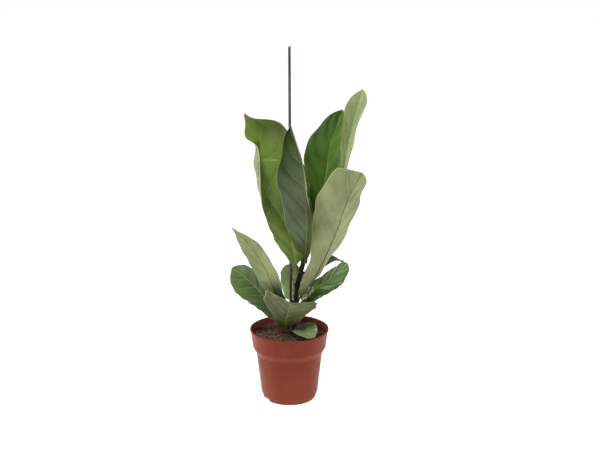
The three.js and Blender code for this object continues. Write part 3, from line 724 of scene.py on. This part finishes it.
def make_pot():
    floor_top = CHANNEL_DEPTH + POT_WALL
    bevel_foot = POT_HEIGHT - COLLAR_HEIGHT - COLLAR_BEVEL_HEIGHT
    collar_foot = POT_HEIGHT - COLLAR_HEIGHT
    channel_outer = POT_FOOT_RADIUS - FOOT_RING_WIDTH
    outer = [(wall_radius(height), height) for height in
             (0, POT_HEEL_HEIGHT, bevel_foot, collar_foot, POT_HEIGHT - LIP_HEIGHT)]
    lip = [(POT_RIM_RADIUS, POT_HEIGHT - LIP_HEIGHT), (POT_RIM_RADIUS, POT_HEIGHT),
           (wall_radius(POT_HEIGHT) - POT_WALL, POT_HEIGHT)]
    inner = [(wall_radius(height) - POT_WALL, height) for height in
             (collar_foot, bevel_foot, POT_HEEL_HEIGHT, floor_top)]
    channel = [(CENTRE_DISC_RADIUS, CHANNEL_DEPTH), (channel_outer, CHANNEL_DEPTH)]
    profile = [(0, 0), (CENTRE_DISC_RADIUS, 0), *channel, (channel_outer, 0), *outer, *lip, *inner,
               (0, floor_top)]

    def inside(here, there):
        middle = (here[0] + there[0]) / 2, (here[1] + there[1]) / 2
        return int(middle[1] > floor_top - MM and middle[0] < wall_radius(middle[1]) - .8 * POT_WALL
                   and middle[1] < POT_HEIGHT - MM)

    # The inside is a darker copy of the outside plastic with heavier brown patches: painted shade for the
    # inside of the pot, with soil smudges.
    materials = [moulded_plastic("pot_plastic_outside", srgb(121, 50, 31), .05),
                 moulded_plastic("pot_plastic_inside", srgb(112, 46, 36), .4)]
    pot = lathe("nursery_pot", filleted(profile, 1.4 * MM), POT_SEGMENTS, materials, inside)
    vertices, faces = [], []
    for angle in NOTCH_ANGLES:
        corners, sides = block((channel_outer - 3 * MM, -NOTCH_WIDTH / 2, -NOTCH_HEIGHT),
                               (POT_RIM_RADIUS, NOTCH_WIDTH / 2, floor_top - MM), angle)
        faces += counted_from(len(vertices), sides)
        vertices += corners
    ring, drill_sides = (CENTRE_DISC_RADIUS + channel_outer) / 2, 20
    for hole in range(DRAIN_HOLES):
        turn = (hole + .5) / DRAIN_HOLES * 2 * math.pi
        first = len(vertices)
        for height in (CHANNEL_DEPTH - 4 * MM, floor_top + 4 * MM):
            for side in range(drill_sides):
                angle = side / drill_sides * 2 * math.pi
                vertices.append((ring * math.cos(turn) + DRAIN_HOLE_RADIUS * math.cos(angle),
                                 ring * math.sin(turn) + DRAIN_HOLE_RADIUS * math.sin(angle), height))
        faces += counted_from(first, loft_faces(2, drill_sides))
    cut(pot, new_object("cutter", vertices, faces, []))
    sharpen(pot, 40)
    return fit_out(pot, "pot")


# ---------------------------------------------------------------- soil

def soil_height(x, y):
    """Height of the lumpy soil surface at a place."""
    radius = math.hypot(x, y) / wall_radius(SOIL_TOP)
    crown = SOIL_CROWN * (1 - radius ** 2)
    lumps = noise.fractal(Vector((x, y, 0)) * 90, .9, 2.1, 5)
    crumbs = noise.turbulence(Vector((x, y, .4)) * 300, 3, False)
    return SOIL_TOP + crown + 1.4 * MM * lumps + 1.1 * MM * (crumbs - .5)


def potting_soil(name, dark, light, scale):
    """Moist peat: dark crumbs with lighter fibres and dry specks, and painted shade in the hollows between
    the crumbs.
    """
    shader = Shader(name, Specular_IOR_Level=.25)
    clods = shader.spread(shader.cloud(scale, detail=8, roughness=.7), .35, .68)
    colour = shader.blend(clods, dark, light)
    cells = shader.node("TexVoronoi", {"Vector": shader.place(), "Scale": 520.0})
    # Painted shade: darker towards the cells' edges, in the hollows that the bump sinks between the crumbs.
    colour = shader.blend(shader.spread(cells, .1, .6, .0, .5), colour, darker(dark, .5))
    dry = shader.spread(shader.cloud(760, detail=3), .62, .72)
    colour = shader.tint(colour, dry, .7, srgb(142, 112, 86))
    roughness = shader.spread(clods, 0, 1, .78, .97)
    grains = shader.cloud(430, detail=8, roughness=.75)
    height = shader.math("SUBTRACT", grains, shader.math("MULTIPLY", cells, .6))
    return shader.finish(colour, roughness, shader.bump(height, 1.6 * MM, .9))


def make_soil():
    gap = .4 * MM
    floor = CHANNEL_DEPTH + POT_WALL + gap
    segments, rings = 200, 70
    brim = wall_radius(SOIL_TOP) - POT_WALL - gap
    vertices = [(0, 0, soil_height(0, 0))]
    for ring in range(1, rings + 1):
        for segment in range(segments):
            turn = segment / segments * 2 * math.pi
            x, y = (brim * ring / rings * part for part in (math.cos(turn), math.sin(turn)))
            vertices.append((x, y, soil_height(x, y)))
    collar_foot = POT_HEIGHT - COLLAR_HEIGHT
    sides = [collar_foot, collar_foot - COLLAR_BEVEL_HEIGHT, POT_HEEL_HEIGHT, floor]
    for height in sides:
        vertices += circle(wall_radius(height) - POT_WALL - gap, height, segments)
    faces = [(0, 1 + segment, 1 + (segment + 1) % segments) for segment in range(segments)]
    for ring in range(rings + len(sides) - 1):
        here = 1 + ring * segments
        for segment in range(segments):
            beside = (segment + 1) % segments
            faces.append((here + segment, here + segments + segment, here + segments + beside, here + beside))
    last = 1 + (rings + len(sides) - 1) * segments
    faces.append(tuple(reversed(range(last, last + segments))))
    material = potting_soil("potting_soil", srgb(30, 19, 14), srgb(98, 71, 54), 150)
    return fit_out(new_object("root_ball", vertices, faces, [material]), "soil")


def clear_of_stems(x, y, margin):
    stem, cane = stem_centre(0), (CANE_LOW.x + CANE_HIGH.x) / 2
    return (math.hypot(x - stem[0], y - stem[1]) > STEM_RADIUS + margin
            and math.hypot(x - cane, y) > CANE_RADIUS + margin)


def scatter(count, dice, margin):
    """Places on the soil, clear of the pot's wall and the stems."""
    reach = wall_radius(SOIL_TOP) - POT_WALL - margin
    found = []
    while len(found) < count:
        radius, turn = reach * math.sqrt(dice.random()), dice.uniform(0, 2 * math.pi)
        x, y = radius * math.cos(turn), radius * math.sin(turn)
        if clear_of_stems(x, y, margin):
            found.append((x, y))
    return found


CRUMBS, FIBRES = 900, 260
LUMP_SIDES = 6         # corners round a crumb of peat


def make_crumbs():
    """Loose crumbs of peat and bark lying on the soil."""
    dice = random.Random(5)
    vertices, faces = [], []
    for x, y in scatter(CRUMBS, dice, 4 * MM):
        size = dice.choice((.8, 1.1, 1.5, 2.1, 2.8)) * MM * dice.uniform(.7, 1.2)
        spin = Matrix.Rotation(dice.uniform(0, 6.3), 3, "Z") @ Matrix.Rotation(dice.uniform(-.6, .6), 3, "X")
        centre = Vector((x, y, soil_height(x, y) + .15 * size))
        stretch = (dice.uniform(.8, 1.5), dice.uniform(.6, 1), dice.uniform(.4, .8))
        first = len(vertices)
        for height, share in ((-.8, .5), (-.1, 1), (.6, .75)):
            for side in range(LUMP_SIDES):
                turn = side / LUMP_SIDES * 2 * math.pi
                rough = share * dice.uniform(.75, 1.15)
                lifted = height * dice.uniform(.8, 1.1)
                corner = Vector((math.cos(turn) * rough, math.sin(turn) * rough, lifted))
                vertices.append(centre + spin @ Vector([size * a * b for a, b in zip(corner, stretch)]))
        faces += counted_from(first, loft_faces(3, LUMP_SIDES))
    material = potting_soil("peat_crumbs", srgb(44, 29, 22), srgb(160, 126, 98), 60)
    return fit_out(new_object("soil_crumbs", vertices, faces, [material], smooth=False), None)


def dry_fibre():
    shader = Shader("coir_fibre", Specular_IOR_Level=.3)
    tone = shader.spread(shader.cloud(70, detail=2), .3, .7)
    colour = shader.blend(tone, srgb(92, 66, 46), srgb(158, 126, 94))
    roughness = shader.spread(tone, 0, 1, .6, .85)
    return shader.finish(colour, roughness, shader.bump(shader.cloud(1400), .1 * MM, .6))


def make_fibres():
    """Short coir fibres lying on the soil."""
    dice = random.Random(11)
    sides, rings = 5, 7
    vertices, faces = [], []
    for x, y in scatter(FIBRES, dice, 10 * MM):
        length, heading = dice.uniform(5, 16) * MM, dice.uniform(0, 2 * math.pi)
        radius, bend = dice.uniform(.14, .32) * MM, dice.uniform(-.9, .9)
        first = len(vertices)
        for ring in range(rings):
            share = ring / (rings - 1) - .5
            turn = heading + bend * share
            cx, cy = x + length * share * math.cos(turn), y + length * share * math.sin(turn)
            cz = soil_height(cx, cy) + radius + .5 * MM * (1 - 2 * abs(share))
            thin = radius * (1 - 1.2 * abs(share))
            for side in range(sides):
                angle = side / sides * 2 * math.pi
                vertices.append((cx - thin * math.cos(angle) * math.sin(turn),
                                 cy + thin * math.cos(angle) * math.cos(turn), cz + thin * math.sin(angle)))
        faces += counted_from(first, loft_faces(rings, sides))
    return fit_out(new_object("soil_fibres", vertices, faces, [dry_fibre()]), None)


# ---------------------------------------------------------------- stem, bud and cane

def rod(name, line, radii, around, materials, relief=None):
    """A round rod along a line. relief(share, turn) is added to its radius."""
    shares = np.linspace(0, 1, len(radii))
    centre, forward = line.at(shares), line.forward(shares)
    across = unit(np.cross((0, 1, 0), forward))
    over = np.cross(forward, across)
    vertices = []
    for ring, radius in enumerate(radii):
        for step in range(around):
            turn = step / around * 2 * math.pi
            reach = radius + (relief(shares[ring], turn) if relief else 0)
            outwards = math.cos(turn) * across[ring] + math.sin(turn) * over[ring]
            vertices.append(centre[ring] + reach * outwards)
    return new_object(name, vertices, loft_faces(len(radii), around), materials)


def bark():
    """Young fig bark: grey-brown and cracked below, greener above, with pale lenticels."""
    shader = Shader("fig_bark", Specular_IOR_Level=.35)
    height = shader.node("SeparateXYZ", {"Vector": shader.place()}).node.outputs[2]
    age = shader.spread(height, SOIL_TOP + .02, STEM_HIGH.z)
    ridges = shader.cloud(1, shader.place((420, 420, 60)), detail=5, roughness=.65)
    woody = shader.blend(shader.spread(ridges, .35, .7), srgb(24, 18, 15), srgb(62, 50, 38))
    young = shader.blend(shader.spread(ridges, .35, .7), srgb(22, 26, 15), srgb(50, 56, 30))
    colour = shader.blend(age, woody, young)
    specks = shader.spread(shader.cloud(1, shader.place((700, 700, 320)), detail=1), .66, .74)
    colour = shader.tint(colour, specks, .6, srgb(148, 132, 104))
    roughness = shader.spread(ridges, .3, .7, .6, .85)
    return shader.finish(colour, roughness, shader.bump(ridges, .9 * MM, .9))


def make_stem():
    line = Line([over_soil(point) for point in STEM_ROUTE])
    rings, around = 150, 40
    taper = np.interp(np.linspace(0, 1, rings), [0, .3, .8, 1], [1, 1, .88, .72])
    heights = [point[2] for point in STEM_ROUTE]
    joints = [(leaf.node - heights[0]) / (heights[-1] - heights[0]) for leaf in LEAVES]

    def knuckles(share, turn):
        swell = sum(math.exp(-((share - joint) / .012) ** 2) for joint in joints)
        scar = sum(math.exp(-((share - joint - .02) / .004) ** 2) for joint in joints)
        return .5 * MM * min(swell, 1) - .35 * MM * min(scar, 1) + .15 * MM * math.sin(5 * turn + 9 * share)

    stem = rod("fig_stem", line, taper * (STEM_RADIUS - .3 * MM), around, [bark()], knuckles)
    return fit_out(stem, "stem")


def papery(name, dark, light):
    """Dry papery sheath: brown, streaked lengthwise, crisp and dull."""
    shader = Shader(name, Specular_IOR_Level=.3, Sheen_Weight=.1)
    streaks = shader.cloud(1, shader.place((600, 600, 50)), detail=4)
    colour = shader.blend(shader.spread(streaks, .35, .7), dark, light)
    roughness = shader.spread(streaks, .3, .7, .55, .8)
    return shader.finish(colour, roughness, shader.bump(streaks, .5 * MM, .8))


def make_bud():
    """The pointed sheath round the growing tip, with its two folded edges winding round it."""
    top = Line([over_soil(point) for point in STEM_ROUTE])
    start, way = top.at([1.0])[0], top.forward(np.array([1.0]))[0]
    length, widest = (BUD_HIGH.z - BUD_LOW.z) * .97, 4.2 * MM
    rings = 60
    shares = np.linspace(0, 1, rings)
    radii = widest * through((.8, 1, .97, .78, .45, .06), shares)[:, 0]
    line = Line([start + way * length * share + way * CLEARANCE for share in (0, .33, .66, 1)])

    def folds(share, turn):
        wound = math.sin(turn + 2.2 * share)
        return -.5 * MM * math.exp(-(wound / .2) ** 2) * (1 - share)

    sheath = papery("tip_sheath", srgb(70, 38, 30), srgb(122, 74, 52))
    bud = rod("growing_tip", line, radii, 40, [sheath], folds)
    return fit_out(bud, "bud_sheath")


# Dry stipules left on the stem, as (height on the stem, compass side, length, lean outwards).
STIPULES = [
    (.03, 250, .018, .3), (.05, 40, .03, .35), (.056, 230, .026, .3), (.072, 345, .032, .6),
    (.09, 10, .034, .4), (.1, 200, .03, .25), (.108, 300, .03, .3), (.121, 80, .026, .3),
]


def make_stipules():
    """Dried stipules: thin curved scales that stay on the stem under the leaves."""
    vertices, faces = [], []
    rings, sides = 12, 10
    for height, side, length, lean in STIPULES:
        angle = math.radians(side)
        outward = Vector((math.cos(angle), math.sin(angle), 0))
        beside = Vector((-math.sin(angle), math.cos(angle), 0))
        foot = Vector(stem_centre(height)) + outward * (STEM_RADIUS - .8 * MM)
        first = len(vertices)
        for ring in range(rings):
            share = ring / (rings - 1)
            centre = foot + Vector((0, 0, length * share)) + outward * length * lean * share ** 1.6
            wide = 4.6 * MM * (1 - share) ** .7 + .25 * MM
            for step in range(sides):
                turn = step / sides * 2 * math.pi
                reach = wide * math.cos(turn)
                cup = -.25 * reach ** 2 / (3 * MM)
                vertices.append(centre + beside * reach + outward * (cup + .35 * MM * math.sin(turn)))
        faces += counted_from(first, loft_faces(rings, sides))
    material = papery("dry_stipule", srgb(28, 16, 15), srgb(62, 40, 30))
    return fit_out(new_object("stipules", vertices, faces, [material]), None)


def cane_skin():
    """Stained cane: dark purple-brown with fine lengthwise grain and paler worn streaks."""
    shader = Shader("cane_skin", Specular_IOR_Level=.4)
    grain = shader.cloud(1, shader.place((900, 900, 14)), detail=5)
    colour = shader.blend(shader.spread(grain, .35, .7), srgb(58, 42, 46), srgb(106, 84, 86))
    wear = shader.spread(shader.cloud(34, detail=5), .55, .75)
    colour = shader.tint(colour, wear, .4, srgb(134, 112, 106))
    roughness = shader.spread(grain, .3, .7, .42, .62)
    return shader.finish(colour, roughness, shader.bump(grain, .25 * MM, .8))


def make_cane():
    """Straight cane with slight knots, rounded at the top."""
    foot = Vector((CANE_HIGH.x - CANE_RADIUS, 0, CANE_LOW.z))
    head = Vector((CANE_LOW.x + CANE_RADIUS, 0, CANE_HIGH.z))
    rings = 240
    shares = np.linspace(0, 1, rings)
    from_end = (1 - shares) * (head - foot).length
    radii = (CANE_RADIUS - .15 * MM) * np.sqrt(np.clip(from_end / (.8 * MM), .15, 1))
    knots = (.12, .31, .5, .7, .88)

    def relief(share, turn):
        knot = sum(math.exp(-((share - place) / .004) ** 2) for place in knots)
        return .14 * MM * knot + .04 * MM * math.sin(3 * turn + 20 * share)

    line = Line([foot.lerp(head, share) for share in (0, .33, .66, 1)])
    cane = rod("cane", line, radii, 28, [cane_skin()], relief)
    return fit_out(cane, "support_cane")


# ---------------------------------------------------------------- the studio

WORLD_LIGHT = .16      # strength of the white surroundings as a light; the camera sees them pure white
FLOOR_HALF = 8
CAMERA_PLACE = (.023, -2.491, 1.087)
CAMERA_DIP = 15.7      # degrees that the camera looks down
CAMERA_LENS = 73.7     # mm, on a sensor 36 mm wide


def make_floor():
    half = FLOOR_HALF
    corners = [(-half, -half, 0), (half, -half, 0), (half, half, 0), (-half, half, 0)]
    shader = Shader("studio_floor", Roughness=.9, Specular_IOR_Level=.1, Emission_Strength=.92)
    shader.surface.inputs["Emission Color"].default_value = (1, 1, 1, 1)
    paper = shader.spread(shader.cloud(30, detail=3), .3, .7)
    shader.drive("Base Color", shader.blend(paper, (.55, .55, .55, 1), (.6, .6, .6, 1)))
    new_object("floor", corners, [(0, 1, 2, 3)], [shader.material], smooth=False)


def lamp(name, place, target, size, power):
    light = bpy.data.lights.new(name, "AREA")
    light.shape = "RECTANGLE"
    light.size, light.size_y = size
    light.energy = power
    made = bpy.data.objects.new(name, light)
    made.location = place
    made.rotation_euler = (Vector(target) - Vector(place)).to_track_quat("-Z", "Y").to_euler()
    bpy.context.scene.collection.objects.link(made)


def make_studio():
    make_floor()
    world = bpy.data.worlds.new("studio")
    bpy.context.scene.world = world
    world.use_nodes = True
    nodes, links = world.node_tree.nodes, world.node_tree.links
    background = nodes["Background"]
    background.inputs["Color"].default_value = (1, 1, 1, 1)
    seen = nodes.new("ShaderNodeLightPath").outputs["Is Camera Ray"]
    strength = nodes.new("ShaderNodeMapRange")
    strength.inputs["To Min"].default_value = WORLD_LIGHT
    links.new(seen, strength.inputs["Value"])
    links.new(strength.outputs[0], background.inputs["Strength"])
    middle = (0, 0, .35)
    lamp("left", (-2, .6, 1.3), middle, (.7, 1.4), 34)
    lamp("right", (2.1, .5, 1.2), middle, (.8, 1.6), 24)
    lamp("top", (-.6, -.7, 2.4), middle, (.6, .6), 56)
    bpy.context.scene.view_settings.view_transform = "Standard"


def make_camera():
    camera = bpy.data.objects.new("camera", bpy.data.cameras.new("camera"))
    camera.data.lens = CAMERA_LENS
    camera.data.sensor_width = 36
    camera.location = CAMERA_PLACE
    camera.rotation_euler = (math.radians(90 - CAMERA_DIP), 0, 0)
    bpy.context.scene.collection.objects.link(camera)
    bpy.context.scene.camera = camera


make_pot()
make_soil()
make_crumbs()
make_fibres()
make_cane()
make_stem()
make_bud()
make_stipules()
for leaf in LEAVES:
    grow(leaf)
make_studio()
make_camera()
